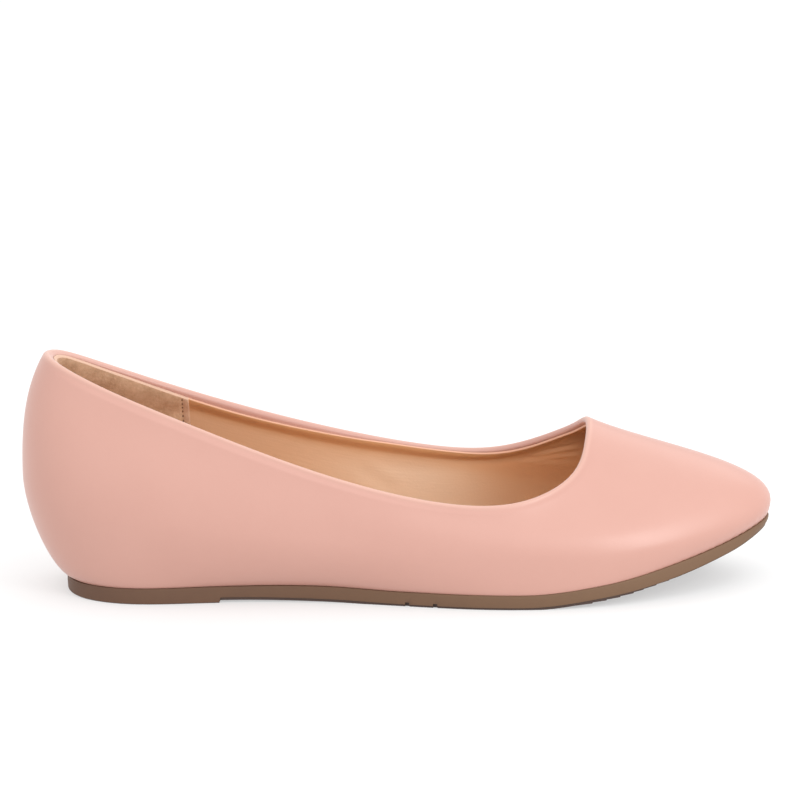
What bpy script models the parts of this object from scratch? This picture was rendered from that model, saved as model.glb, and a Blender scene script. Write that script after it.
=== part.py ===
"""Wedge ballet flat, right shoe, size 39: upper, outsole, hidden heel wedge and insole.

Everything is worked out from the last, the form that a shoe is made over. Three closed lines run
round it: the feather line, where the upper turns in onto the outsole, the widest line, and the
topline, which is the edge of the opening. A rib joins the three at each station, and the ribs
together are the outside of the upper. The other pieces are cut to the same form.

Sizes are in millimetres and are turned to metres where a mesh is made. In the tables x runs from
the back of the heel towards the toe, lateral and medial are distances to the outer and the inner
side of the foot, and z is the height over the floor.
"""

import math

import bmesh
import bpy
import numpy as np

MM = 0.001
LENGTH = 264.0  # from the back of the heel to the tip of the toe
WALL = 2.2  # upper leather with its backing and lining
GAP = 0.3  # between pieces that lie on each other
SOLE_MARGIN = 0.6  # how far the outsole stands out past the feather line
SOLE_ROUNDING = 0.8  # small bevel round the outsole's lower edge
GROOVES = (132.5, 142.0)  # x of the two flex grooves across the outsole
GROOVE_WIDTH = 1.2
GROOVE_DEPTH = 1.0
INSOLE_THICKNESS = 2.6
WEDGE_FRONT = 148.0  # x where the wedge ends
CUT_HALF_WIDTH = 60.0  # wider than any piece, for profiles and cutters that run across the shoe
BELOW_FLOOR = -2.0  # where such profiles end
PROFILE_STEP = 7.0  # from one point of a long profile to the next

SHARP_ANGLE = math.radians(35)  # edges bent more than this stay crisp
STEPS_PER_ROW = 5  # stations from one row of the tables to the next
SKIRT_STEPS = 4  # bands from the feather line to the widest line
SIDE_STEPS = 8  # bands from the widest line to the topline


def table(names, *rows):
    """The columns of a table by name."""
    return dict(zip(names.split(), np.array(rows, float).T))


# Where the upper turns in onto the outsole. The tenth row is the tip of the toe.
FEATHER = table(
    "x  lateral  medial",
    (15.2, 0.0, 0.0),  # back
    (20.4, 16.0, 15.5),  # heel corner
    (39.0, 25.0, 25.0),  # heel side
    (67.8, 25.0, 25.5),  # heel breast, where the heel pad ends
    (110.0, 28.0, 23.0),  # waist, hollowed on the medial side
    (155.0, 38.3, 32.0),  # rear of the joint
    (198.0, 38.3, 40.5),  # ball
    (232.0, 26.5, 29.5),  # toe shoulder
    (255.0, 12.6, 13.8),  # toe corner
    (263.0, 0.0, 0.0),  # tip
)
# Widest line. Skirt says how round the rib is below it: 0 runs straight, 1 turns in under the foot.
WIDEST = table(
    "x  lateral  medial  z  skirt",
    (0.0, 0.0, 0.0, 42.0, 0.92),
    (7.0, 19.0, 19.0, 42.0, 0.85),
    (29.0, 30.5, 30.5, 35.5, 0.55),
    (64.0, 34.5, 32.5, 29.5, 0.60),
    (108.0, 35.5, 31.5, 24.0, 0.60),
    (153.0, 40.0, 37.0, 19.0, 0.60),
    (197.0, 39.5, 42.5, 18.0, 0.60),
    (232.5, 28.5, 31.0, 21.0, 0.60),
    (257.0, 14.0, 15.0, 25.5, 0.60),
    (LENGTH, 0.0, 0.0, 27.9, 0.55),
)
# Topline. The medial side stands higher. Slope is the angle at which a rib arrives there.
TOPLINE = table(
    "x  lateral  medial  z_lateral  z_medial  slope",
    (9.0, 0.0, 0.0, 84.5, 84.5, 59.0),
    (14.5, 12.0, 12.0, 82.1, 82.6, 68.0),
    (32.0, 20.5, 20.5, 74.5, 75.0, 76.0),
    (62.0, 26.5, 26.0, 62.5, 63.5, 78.0),
    (102.5, 31.5, 29.5, 47.4, 50.8, 77.0),
    (140.5, 34.0, 34.0, 37.5, 41.5, 72.0),
    (169.5, 33.0, 34.0, 36.3, 40.0, 50.0),
    (189.5, 23.0, 24.5, 43.0, 47.8, 30.5),
    (196.5, 10.0, 15.0, 52.0, 53.8, 25.5),
    (198.5, -3.0, 3.0, 57.5, 57.5, 26.0),  # its middle lies on the medial side of the tip
)
HEEL_BREAST = 3  # its row in the tables
PAD_FRONT = 0.0125  # share of a row that the heel pad's front edge takes
ROUND = 2 * (len(FEATHER["x"]) - 1)  # stations once round, a whole number for each row and side
# Outsole without its heel pad: flat under the forefoot, arched at the waist, with toe spring.
OUTSOLE = table(
    "x  bottom  thickness",
    (12.0, 1.1, 4.1),
    (68.6, 1.2, 4.5),
    (105.0, 0.6, 5.1),
    (130.0, 0.0, 4.9),
    (172.0, 0.0, 4.9),
    (200.0, 2.6, 4.8),
    (225.0, 7.4, 4.6),
    (245.0, 12.8, 3.9),
    (263.0, 18.9, 3.2),
)
# Top of the insole, where the foot stands: nearly level on the wedge at the heel, then down to the
# joint, and up with the outsole's toe spring.
FOOTBED = table(
    "x  z",
    (0.0, 31.0),
    (35.0, 29.8),
    (65.0, 26.0),
    (95.0, 19.5),
    (125.0, 12.5),
    (150.0, 8.8),
    (174.0, 7.9),
    (200.0, 10.5),
    (225.0, 15.1),
    (245.0, 19.5),
    (LENGTH, 24.6),
)
# Shares of a rib's pieces that its curve leaves each line by, before it turns.
SKIRT_HANDLES = (0.40, 0.38)
SIDE_HANDLES = (0.45, 0.30)


def closed_spline(values):
    """A smooth periodic curve through values, one for each whole number."""
    count = len(values)
    band = 4 * np.eye(count) + np.roll(np.eye(count), 1, 1) + np.roll(np.eye(count), -1, 1)
    jumps = np.roll(values, 1, 0) - 2 * values + np.roll(values, -1, 0)
    bend = np.linalg.solve(band, 6 * jumps)

    def at(station):
        first = np.floor(station).astype(int)
        t = (station - first)[:, None]
        s = 1 - t
        a = first % count
        b = (first + 1) % count
        straight = s * values[a] + t * values[b]
        return straight + ((s**3 - s) * bend[a] + (t**3 - t) * bend[b]) / 6

    return at


def eased(x, y):
    """A smooth curve through the rows that never swings past them, so that flat stays flat."""
    step = np.diff(x)
    rise = np.diff(y) / step
    slope = np.zeros(len(x))
    slope[0] = rise[0]
    slope[-1] = rise[-1]
    for i in range(1, len(x) - 1):
        if rise[i - 1] * rise[i] > 0:
            before = 2 * step[i] + step[i - 1]
            after = step[i] + 2 * step[i - 1]
            slope[i] = (before + after) / (before / rise[i - 1] + after / rise[i])

    def at(value):
        value = np.clip(value, x[0], x[-1])
        i = np.clip(np.searchsorted(x, value, side="right") - 1, 0, len(x) - 2)
        t = (value - x[i]) / step[i]
        start = (2 * t**3 - 3 * t**2 + 1) * y[i] + (t**3 - 2 * t**2 + t) * step[i] * slope[i]
        end = (3 * t**2 - 2 * t**3) * y[i + 1] + (t**3 - t**2) * step[i] * slope[i + 1]
        return start + end

    return at


def around(lateral, medial):
    """Values once round the shoe: back, lateral side, tip, then the medial side to the back."""
    return np.concatenate([lateral, medial[-2:0:-1]])


def line(rows, z_lateral, z_medial):
    """The closed line of a table, as a function of station. Lateral lies at negative y."""
    x = around(rows["x"], rows["x"])
    y = around(-rows["lateral"], rows["medial"])
    return closed_spline(np.stack([x, y, around(z_lateral, z_medial)], 1))


def each_side(column):
    """A column that both sides share, as a function of station."""
    return closed_spline(around(column, column)[:, None])


sole_bottom = eased(OUTSOLE["x"], OUTSOLE["bottom"])
sole_thickness = eased(OUTSOLE["x"], OUTSOLE["thickness"])
footbed = eased(FOOTBED["x"], FOOTBED["z"])
feather_line = line(FEATHER, np.zeros(len(FEATHER["x"])), np.zeros(len(FEATHER["x"])))
widest_line = line(WIDEST, WIDEST["z"], WIDEST["z"])
topline = line(TOPLINE, TOPLINE["z_lateral"], TOPLINE["z_medial"])
skirt_at = each_side(WIDEST["skirt"])
slope_at = each_side(TOPLINE["slope"])


def sole_top(x):
    return sole_bottom(x) + sole_thickness(x)


def bezier(points, steps):
    """Points along a cubic curve, one row for each step, without the last."""
    a, b, c, d = points
    rows = []
    for t in np.arange(steps) / steps:
        s = 1 - t
        rows.append(s**3 * a + 3 * s * s * t * b + 3 * s * t * t * c + t**3 * d)
    return rows


def ribs(stations):
    """The upper's outside: a row of points for each step up the ribs, one for each station."""
    level = np.array([1.0, 1.0, 0.0])
    up = np.array([0.0, 0.0, 1.0])
    feather = feather_line(stations)
    feather[:, 2] = sole_top(feather[:, 0]) + GAP
    widest = widest_line(stations)
    top = topline(stations)
    reach = widest - feather
    skirt = skirt_at(stations)
    leave = skirt * reach * level + (1 - skirt) * reach
    lower = (
        feather,
        feather + SKIRT_HANDLES[0] * leave,
        widest - SKIRT_HANDLES[1] * reach * up,
        widest,
    )
    chord = top - widest
    length = np.linalg.norm(chord, axis=1, keepdims=True)
    inward = chord * level
    inward /= np.linalg.norm(inward, axis=1, keepdims=True)
    slope = np.radians(slope_at(stations))
    arrive = inward * np.cos(slope) + up * np.sin(slope)
    upper = (
        widest,
        widest + SIDE_HANDLES[0] * chord * up,
        top - SIDE_HANDLES[1] * length * arrive,
        top,
    )
    return np.array(bezier(lower, SKIRT_STEPS) + bezier(upper, SIDE_STEPS) + [top])


def moved_in(grid, distance):
    """The grid moved towards the inside of the shoe, square to its own surface."""
    along = np.roll(grid, -1, 1) - np.roll(grid, 1, 1)
    upward = np.gradient(grid, axis=0)
    inward = np.cross(upward, along)
    return grid + distance * inward / np.linalg.norm(inward, axis=2, keepdims=True)


def bands(rings, count):
    """Faces between rings that follow each other, numbered ring by ring, facing outwards."""
    faces = []
    for ring in range(rings - 1):
        for i in range(count):
            j = (i + 1) % count
            low = ring * count
            high = low + count
            faces.append((low + i, low + j, high + j, high + i))
    return faces


def cap(start, count, facing_up):
    """Faces across a ring, each from the lateral to the medial side."""
    faces = []
    for i in range(count // 2):
        corners = (i, i + 1, count - i - 1, (count - i) % count)
        face = [start + corner for corner in dict.fromkeys(corners)]
        faces.append(face if facing_up else face[::-1])
    return faces


def add_object(name, points, faces, collection):
    """A mesh object of points in millimetres, moved so that the shoe's middle is at the origin."""
    mesh = bpy.data.meshes.new(name)
    mesh.from_pydata((np.asarray(points) - CENTRE) * MM, [], faces)
    mesh.validate()
    obj = bpy.data.objects.new(name, mesh)
    collection.objects.link(obj)
    return obj


def add_material(obj, name, colour, roughness):
    material = bpy.data.materials.new(name)
    material.use_nodes = True
    shader = material.node_tree.nodes["Principled BSDF"]
    shader.inputs["Base Color"].default_value = (*colour, 1.0)
    shader.inputs["Roughness"].default_value = roughness
    shader.inputs["Metallic"].default_value = 0.0
    obj.data.materials.append(material)


def shade(obj):
    obj.data.shade_smooth()
    obj.data.set_sharp_from_angle(angle=SHARP_ANGLE)


def add_boolean(obj, operation, other):
    modifier = obj.modifiers.new(operation.title(), "BOOLEAN")
    modifier.operation = operation
    modifier.solver = "EXACT"
    modifier.object = other


def make_cutter(obj):
    obj.hide_render = True
    obj.display_type = "WIRE"


def across(name, profile, collection):
    """A profile of x and z drawn out over the whole width of the shoe."""
    points = [(x, -CUT_HALF_WIDTH, z) for x, z in profile]
    obj = add_object(name, points, [range(len(points))], collection)
    form = bmesh.new()
    form.from_mesh(obj.data)
    drawn = bmesh.ops.extrude_face_region(form, geom=form.faces[:])["geom"]
    moved = [item for item in drawn if isinstance(item, bmesh.types.BMVert)]
    bmesh.ops.translate(form, verts=moved, vec=(0.0, 2 * CUT_HALF_WIDTH * MM, 0.0))
    bmesh.ops.recalc_face_normals(form, faces=form.faces)
    form.to_mesh(obj.data)
    form.free()
    return obj


def make_upper(collection):
    """The leather wall, open at the topline and underneath."""
    rings, count, _ = OUTSIDE.shape
    obj = add_object("upper", OUTSIDE.reshape(-1, 3), bands(rings, count), collection)
    wall = obj.modifiers.new("Wall", "SOLIDIFY")
    wall.thickness = WALL * MM
    wall.offset = -1.0
    wall.use_even_offset = True
    add_material(obj, "upper_leather", (0.78, 0.43, 0.36), 0.45)
    shade(obj)
    return obj


def make_last(collection):
    """The room inside the upper, as one closed form that the wedge and the insole are cut to."""
    inside = moved_in(OUTSIDE, WALL + GAP)
    foot = inside[0].copy()
    foot[:, 2] = sole_top(foot[:, 0]) + GAP
    rows = np.concatenate([foot[None], inside])
    rings, count, _ = rows.shape
    faces = bands(rings, count)
    faces += cap(0, count, facing_up=False)
    faces += cap((rings - 1) * count, count, facing_up=True)
    obj = add_object("last", rows.reshape(-1, 3), faces, collection)
    make_cutter(obj)
    return obj


def outsole_stations():
    """The upper's stations, and one more on each side just past the front of the heel pad."""
    extra = (HEEL_BREAST + PAD_FRONT, ROUND - HEEL_BREAST - PAD_FRONT)
    return np.sort(np.concatenate([STATIONS, extra]))


def make_outsole(collection, cutters):
    """The rubber sole with its heel pad, moulded in one."""
    stations = outsole_stations()
    edge = feather_line(stations)
    along = np.roll(edge, -1, 0) - np.roll(edge, 1, 0)
    out = np.stack([along[:, 1], -along[:, 0], np.zeros(len(along))], 1)
    out /= np.linalg.norm(out, axis=1, keepdims=True)
    edge += SOLE_MARGIN * out
    on_pad = (stations <= HEEL_BREAST) | (stations >= ROUND - HEEL_BREAST)
    ground = np.where(on_pad, 0.0, sole_bottom(edge[:, 0]))
    top = edge.copy()
    top[:, 2] = sole_top(edge[:, 0])
    lower = edge.copy()
    lower[:, 2] = ground + SOLE_ROUNDING
    bottom = edge - SOLE_ROUNDING * out
    bottom[:, 2] = ground
    rows = np.array([bottom, lower, top])
    rings, count, _ = rows.shape
    faces = bands(rings, count)
    faces += cap(0, count, facing_up=False)
    faces += cap((rings - 1) * count, count, facing_up=True)
    obj = add_object("outsole", rows.reshape(-1, 3), faces, collection)
    for number, x in enumerate(GROOVES, 1):
        left = x - GROOVE_WIDTH / 2
        right = x + GROOVE_WIDTH / 2
        roof = sole_bottom(x) + GROOVE_DEPTH
        profile = [(left, BELOW_FLOOR), (right, BELOW_FLOOR), (right, roof), (left, roof)]
        groove = across(f"groove_{number}", profile, cutters)
        make_cutter(groove)
        add_boolean(obj, "DIFFERENCE", groove)
    add_material(obj, "outsole_rubber", (0.21, 0.12, 0.08), 0.6)
    shade(obj)
    return obj


def make_wedge(collection, last):
    """The heel wedge that lies hidden between outsole and insole."""
    x = np.append(np.arange(0.0, WEDGE_FRONT, PROFILE_STEP), WEDGE_FRONT)
    top = footbed(x) - INSOLE_THICKNESS - GAP
    profile = list(zip(x, top)) + [(WEDGE_FRONT, BELOW_FLOOR), (0.0, BELOW_FLOOR)]
    obj = across("wedge", profile, collection)
    add_boolean(obj, "INTERSECT", last)
    add_material(obj, "wedge_foam", (0.62, 0.5, 0.38), 0.8)
    shade(obj)
    return obj


def make_insole(collection, last):
    """The footbed, on the wedge at the heel and on the outsole in front of it."""
    front = WEDGE_FRONT + GAP
    over = np.append(np.arange(0.0, WEDGE_FRONT, PROFILE_STEP), front)
    ahead = np.arange(WEDGE_FRONT + PROFILE_STEP, LENGTH + PROFILE_STEP, PROFILE_STEP)
    whole = np.append(over, ahead)
    underside = list(zip(over, footbed(over) - INSOLE_THICKNESS))
    underside += [(front, BELOW_FLOOR), (whole[-1], BELOW_FLOOR)]
    obj = across("insole", underside + list(zip(whole, footbed(whole)))[::-1], collection)
    add_boolean(obj, "INTERSECT", last)
    add_material(obj, "insole_sock", (0.62, 0.37, 0.2), 0.55)
    shade(obj)
    return obj


def clear_scene():
    for obj in list(bpy.data.objects):
        bpy.data.objects.remove(obj, do_unlink=True)


STATIONS = np.arange(ROUND * STEPS_PER_ROW) / STEPS_PER_ROW
OUTSIDE = ribs(STATIONS)
SIDES = OUTSIDE[:, :, 1]
CENTRE = np.array([LENGTH / 2, (SIDES.min() + SIDES.max()) / 2, 0.0])


def main():
    clear_scene()
    shoe = bpy.data.collections.new("wedge_ballet_flat")
    cutters = bpy.data.collections.new("cutters")
    bpy.context.scene.collection.children.link(shoe)
    bpy.context.scene.collection.children.link(cutters)
    last = make_last(cutters)
    make_upper(shoe)
    make_outsole(shoe, cutters)
    make_wedge(shoe, last)
    make_insole(shoe, last)


main()
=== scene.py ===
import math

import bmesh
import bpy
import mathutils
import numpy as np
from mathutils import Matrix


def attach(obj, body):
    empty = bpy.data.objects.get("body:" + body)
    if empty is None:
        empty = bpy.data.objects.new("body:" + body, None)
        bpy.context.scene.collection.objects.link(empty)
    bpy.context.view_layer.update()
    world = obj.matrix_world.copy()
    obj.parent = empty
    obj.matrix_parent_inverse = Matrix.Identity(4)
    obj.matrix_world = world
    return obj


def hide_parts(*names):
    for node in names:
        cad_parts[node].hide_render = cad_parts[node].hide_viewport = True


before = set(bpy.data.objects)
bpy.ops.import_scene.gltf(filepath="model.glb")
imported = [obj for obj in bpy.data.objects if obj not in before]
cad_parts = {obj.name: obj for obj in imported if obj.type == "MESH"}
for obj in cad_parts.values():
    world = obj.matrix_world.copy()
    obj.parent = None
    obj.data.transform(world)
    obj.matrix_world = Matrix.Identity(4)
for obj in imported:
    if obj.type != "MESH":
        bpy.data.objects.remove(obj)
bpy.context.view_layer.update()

# Looks of the wedge ballet flat, right shoe: nappa upper with a folded rim, tan lining, suede heel
# grip, covered insole and moulded rubber outsole, standing on a plain pale floor.
#
# The fine surfaces follow the same last as the model. A place on the upper is given by its station,
# which runs once round the shoe, its drop, the way down the outer face from the topline, and its
# inset, the depth under that face. Sizes are in millimetres until a mesh is made.

MM = 0.001
LENGTH = 264.0  # from the back of the heel to the tip of the toe
GAP = 0.3  # between pieces that lie on each other

STATIONS_PER_ROW = 24
RIB_SAMPLES = 120  # on each of the two curves of a rib
SOLE_MARGIN = 0.6  # how far the outsole stands out past the feather line
SHARP_ANGLE = math.radians(35)  # edges bent more than this stay crisp


def table(names, *rows):
    """The columns of a table by name."""
    return dict(zip(names.split(), np.array(rows, float).T))


# The last. In these tables x runs from the back of the heel towards the toe, lateral and medial are
# distances to the outer and the inner side of the foot, and z is the height over the floor.
FEATHER = table(
    "x  lateral  medial",
    (15.2, 0.0, 0.0),  # back
    (20.4, 16.0, 15.5),  # heel corner
    (39.0, 25.0, 25.0),  # heel side
    (67.8, 25.0, 25.5),  # heel breast, where the heel pad ends
    (110.0, 28.0, 23.0),  # waist
    (155.0, 38.3, 32.0),  # rear of the joint
    (198.0, 38.3, 40.5),  # ball
    (232.0, 26.5, 29.5),  # toe shoulder
    (255.0, 12.6, 13.8),  # toe corner
    (263.0, 0.0, 0.0),  # tip
)
WIDEST = table(
    "x  lateral  medial  z  skirt",
    (0.0, 0.0, 0.0, 42.0, 0.92),
    (7.0, 19.0, 19.0, 42.0, 0.85),
    (29.0, 30.5, 30.5, 35.5, 0.55),
    (64.0, 34.5, 32.5, 29.5, 0.60),
    (108.0, 35.5, 31.5, 24.0, 0.60),
    (153.0, 40.0, 37.0, 19.0, 0.60),
    (197.0, 39.5, 42.5, 18.0, 0.60),
    (232.5, 28.5, 31.0, 21.0, 0.60),
    (257.0, 14.0, 15.0, 25.5, 0.60),
    (LENGTH, 0.0, 0.0, 27.9, 0.55),
)
TOPLINE = table(
    "x  lateral  medial  z_lateral  z_medial  slope",
    (9.0, 0.0, 0.0, 84.5, 84.5, 59.0),
    (14.5, 12.0, 12.0, 82.1, 82.6, 68.0),
    (32.0, 20.5, 20.5, 74.5, 75.0, 76.0),
    (62.0, 26.5, 26.0, 62.5, 63.5, 78.0),
    (102.5, 31.5, 29.5, 47.4, 50.8, 77.0),
    (140.5, 34.0, 34.0, 37.5, 41.5, 72.0),
    (169.5, 33.0, 34.0, 36.3, 40.0, 50.0),
    (189.5, 23.0, 24.5, 43.0, 47.8, 30.5),
    (196.5, 10.0, 15.0, 52.0, 53.8, 25.5),
    (198.5, -3.0, 3.0, 57.5, 57.5, 26.0),
)
OUTSOLE = table(
    "x  bottom  thickness",
    (12.0, 1.1, 4.1),
    (68.6, 1.2, 4.5),
    (105.0, 0.6, 5.1),
    (130.0, 0.0, 4.9),
    (172.0, 0.0, 4.9),
    (200.0, 2.6, 4.8),
    (225.0, 7.4, 4.6),
    (245.0, 12.8, 3.9),
    (263.0, 18.9, 3.2),
)
FOOTBED = table(
    "x  z",
    (0.0, 31.0),
    (35.0, 29.8),
    (65.0, 26.0),
    (95.0, 19.5),
    (125.0, 12.5),
    (150.0, 8.8),
    (174.0, 7.9),
    (200.0, 10.5),
    (225.0, 15.1),
    (245.0, 19.5),
    (LENGTH, 24.6),
)
HEEL_BREAST = 3  # its row in the tables
PAD_FRONT = 0.0125  # share of a row that the heel pad's front edge takes
SKIRT_HANDLES = (0.40, 0.38)
SIDE_HANDLES = (0.45, 0.30)
ROUND = 2 * (len(FEATHER["x"]) - 1)  # stations once round


def closed_spline(values):
    """A smooth periodic curve through values, one for each whole number."""
    count = len(values)
    band = 4 * np.eye(count) + np.roll(np.eye(count), 1, 1) + np.roll(np.eye(count), -1, 1)
    jumps = np.roll(values, 1, 0) - 2 * values + np.roll(values, -1, 0)
    bend = np.linalg.solve(band, 6 * jumps)

    def at(station):
        first = np.floor(station).astype(int)
        t = (station - first)[:, None]
        s = 1 - t
        a = first % count
        b = (first + 1) % count
        straight = s * values[a] + t * values[b]
        return straight + ((s**3 - s) * bend[a] + (t**3 - t) * bend[b]) / 6

    return at


def eased(x, y):
    """A smooth curve through the rows that never swings past them, so that flat stays flat."""
    step = np.diff(x)
    rise = np.diff(y) / step
    slope = np.zeros(len(x))
    slope[0] = rise[0]
    slope[-1] = rise[-1]
    for i in range(1, len(x) - 1):
        if rise[i - 1] * rise[i] > 0:
            before = 2 * step[i] + step[i - 1]
            after = step[i] + 2 * step[i - 1]
            slope[i] = (before + after) / (before / rise[i - 1] + after / rise[i])

    def at(value):
        value = np.clip(value, x[0], x[-1])
        i = np.clip(np.searchsorted(x, value, side="right") - 1, 0, len(x) - 2)
        t = (value - x[i]) / step[i]
        start = (2 * t**3 - 3 * t**2 + 1) * y[i] + (t**3 - 2 * t**2 + t) * step[i] * slope[i]
        end = (3 * t**2 - 2 * t**3) * y[i + 1] + (t**3 - t**2) * step[i] * slope[i + 1]
        return start + end

    return at


def around(lateral, medial):
    """Values once round the shoe: back, lateral side, tip, then the medial side to the back."""
    return np.concatenate([lateral, medial[-2:0:-1]])


def line(rows, z_lateral, z_medial):
    """The closed line of a table, as a function of station. Lateral lies at negative y."""
    x = around(rows["x"], rows["x"])
    y = around(-rows["lateral"], rows["medial"])
    return closed_spline(np.stack([x, y, around(z_lateral, z_medial)], 1))


def each_side(column):
    """A column that both sides share, as a function of station."""
    return closed_spline(around(column, column)[:, None])


sole_bottom = eased(OUTSOLE["x"], OUTSOLE["bottom"])
sole_thickness = eased(OUTSOLE["x"], OUTSOLE["thickness"])
footbed = eased(FOOTBED["x"], FOOTBED["z"])
feather_line = line(FEATHER, np.zeros(len(FEATHER["x"])), np.zeros(len(FEATHER["x"])))
widest_line = line(WIDEST, WIDEST["z"], WIDEST["z"])
topline = line(TOPLINE, TOPLINE["z_lateral"], TOPLINE["z_medial"])
skirt_at = each_side(WIDEST["skirt"])
slope_at = each_side(TOPLINE["slope"])


def sole_top(x):
    return sole_bottom(x) + sole_thickness(x)


def smooth(start, end, value):
    """0 before start, 1 after end, and an even turn between them."""
    t = np.clip((value - start) / (end - start), 0.0, 1.0)
    return t * t * (3 - 2 * t)


def between(start, full, fade, end, value):
    """1 from full to fade, running out evenly to 0 at start and at end."""
    return smooth(start, full, value) * (1 - smooth(fade, end, value))


def bell(value, width):
    """1 at 0, running out softly over this width on both sides."""
    return np.exp(-((value / width) ** 2))


def unit(vectors):
    return vectors / np.linalg.norm(vectors, axis=-1, keepdims=True)


def cubic(points, steps):
    """Points along a cubic curve, a row for each step and one for the end."""
    a, b, c, d = points
    t = np.linspace(0.0, 1.0, steps + 1)[:, None, None]
    s = 1 - t
    return s**3 * a + 3 * s * s * t * b + 3 * s * t * t * c + t**3 * d


def ribs(stations):
    """Points down each rib of the outer face, from the topline to the feather line."""
    level = np.array([1.0, 1.0, 0.0])
    up = np.array([0.0, 0.0, 1.0])
    feather = feather_line(stations)
    feather[:, 2] = sole_top(feather[:, 0]) + GAP
    widest = widest_line(stations)
    top = topline(stations)
    reach = widest - feather
    skirt = skirt_at(stations)
    leave = skirt * reach * level + (1 - skirt) * reach
    drawn_in = widest - SKIRT_HANDLES[1] * reach * up
    lower = (widest, drawn_in, feather + SKIRT_HANDLES[0] * leave, feather)
    chord = top - widest
    length = np.linalg.norm(chord, axis=1, keepdims=True)
    slope = np.radians(slope_at(stations))
    arrive = unit(chord * level) * np.cos(slope) + up * np.sin(slope)
    leaning = top - SIDE_HANDLES[1] * length * arrive
    upper = (top, leaning, widest + SIDE_HANDLES[0] * chord * up, widest)
    return np.concatenate([cubic(upper, RIB_SAMPLES), cubic(lower, RIB_SAMPLES)[1:]])


class Face:
    """The outer face of the upper at some stations, read by drop and inset."""

    NUDGE = 0.4  # drop on each side of a point that its slope is read over

    def __init__(self, stations, closed=True):
        self.stations = stations
        self.closed = closed
        self.curve = ribs(stations)
        steps = np.linalg.norm(np.diff(self.curve, axis=0), axis=2)
        self.down = np.concatenate([np.zeros((1, len(stations))), np.cumsum(steps, axis=0)])
        self.height = self.down[-1]

    def on(self, drops):
        """Points on the face at these drops, a row of them for each ring."""
        points = np.empty((*drops.shape, 3))
        for i in range(drops.shape[1]):
            for axis in range(3):
                points[:, i, axis] = np.interp(drops[:, i], self.down[:, i], self.curve[:, i, axis])
        first = self.curve[0] - self.curve[1]
        over = np.maximum(-drops, 0)[:, :, None]
        return points + over * unit(first)

    def inward(self, drops):
        """The direction into the shoe, square to the face."""
        held = np.clip(drops, self.NUDGE, self.height - self.NUDGE)
        upward = self.on(held - self.NUDGE) - self.on(held + self.NUDGE)
        here = self.on(held)
        if self.closed:
            along = np.roll(here, -1, 1) - np.roll(here, 1, 1)
        else:
            along = np.gradient(here, axis=1)
        return unit(np.cross(upward, along))

    def at(self, drops, insets):
        return self.on(drops) + insets[:, :, None] * self.inward(drops)


STATIONS = np.arange(ROUND * STATIONS_PER_ROW) / STATIONS_PER_ROW
OUTER = Face(STATIONS)
SIDES = OUTER.curve[:, :, 1]
CENTRE = np.array([LENGTH / 2, (SIDES.min() + SIDES.max()) / 2, 0.0])

# Meshes

ROOT = "root"
WELD = 1e-6  # metres


def rings_faces(rings, count, closed_rings, closed_stations, start=0):
    """Faces between rings that follow each other upwards, facing out of the shoe."""
    faces = []
    for ring in range(rings if closed_rings else rings - 1):
        low = start + ring * count
        high = start + (ring + 1) % rings * count
        for i in range(count if closed_stations else count - 1):
            j = (i + 1) % count
            faces.append((low + i, low + j, high + j, high + i))
    return faces


def new_object(name, data):
    """An object in the scene, at the origin."""
    obj = bpy.data.objects.new(name, data)
    bpy.context.scene.collection.objects.link(obj)
    return obj


def finish_piece(obj):
    """Crisp edges where the form bends sharply, and the piece's place in the frame."""
    obj.data.shade_smooth()
    obj.data.set_sharp_from_angle(angle=SHARP_ANGLE)
    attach(obj, ROOT)


def add_piece(name, points, faces, material, uv=None, marks=None):
    """A mesh piece of the shoe, given in millimetres and moved into the frame."""
    mesh = bpy.data.meshes.new(name)
    mesh.from_pydata((np.asarray(points) - CENTRE) * MM, [], faces)
    for key, values in (marks or {}).items():
        layer = mesh.attributes.new(key, "FLOAT", "POINT")
        layer.data.foreach_set("value", np.asarray(values, np.float32).ravel())
    if uv is not None:
        layer = mesh.uv_layers.new(name="Surface")
        corners = np.empty(len(mesh.loops), np.int32)
        mesh.loops.foreach_get("vertex_index", corners)
        layer.data.foreach_set("uv", (uv[corners] * MM).astype(np.float32).ravel())
    form = bmesh.new()
    form.from_mesh(mesh)
    bmesh.ops.remove_doubles(form, verts=form.verts, dist=WELD)
    bmesh.ops.dissolve_degenerate(form, edges=form.edges, dist=WELD)
    form.to_mesh(mesh)
    form.free()
    mesh.materials.append(material)
    obj = new_object(name, mesh)
    finish_piece(obj)
    return obj


def there_and_back(back, front):
    """Rows up a layer's back and down its front, as one list."""
    return np.concatenate([back, front[::-1]])


def slab(back, front, closed_stations):
    """Points and faces of a closed layer between two grids. The back faces out of the shoe."""
    rings, count, _ = front.shape
    faces = rings_faces(2 * rings, count, True, closed_stations)
    if not closed_stations:
        last = count - 1
        for ring in range(rings - 1):
            low = ring * count
            high = low + count
            low_front = (2 * rings - 1 - ring) * count
            high_front = low_front - count
            faces.append((low, high, high_front, low_front))
            faces.append((high + last, low + last, low_front + last, high_front + last))
    return there_and_back(back, front).reshape(-1, 3), faces


# Materials


def linear(code):
    """An sRGB hex colour as linear red, green, blue and alpha."""
    parts = [int(code[i : i + 2], 16) / 255 for i in (1, 3, 5)]
    return (*(p / 12.92 if p <= 0.04045 else ((p + 0.055) / 1.055) ** 2.4 for p in parts), 1.0)


def set_inputs(tree, node, inputs):
    """A node's inputs, each set to a value or linked to another node's output."""
    for key, value in inputs.items():
        if isinstance(value, bpy.types.NodeSocket):
            tree.links.new(value, node.inputs[key])
        else:
            node.inputs[key].default_value = value


def add_node(tree, kind, inputs=None, **settings):
    """A node with its settings, values and links."""
    node = tree.nodes.new(kind)
    for key, value in settings.items():
        setattr(node, key, value)
    set_inputs(tree, node, inputs or {})
    return node


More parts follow.
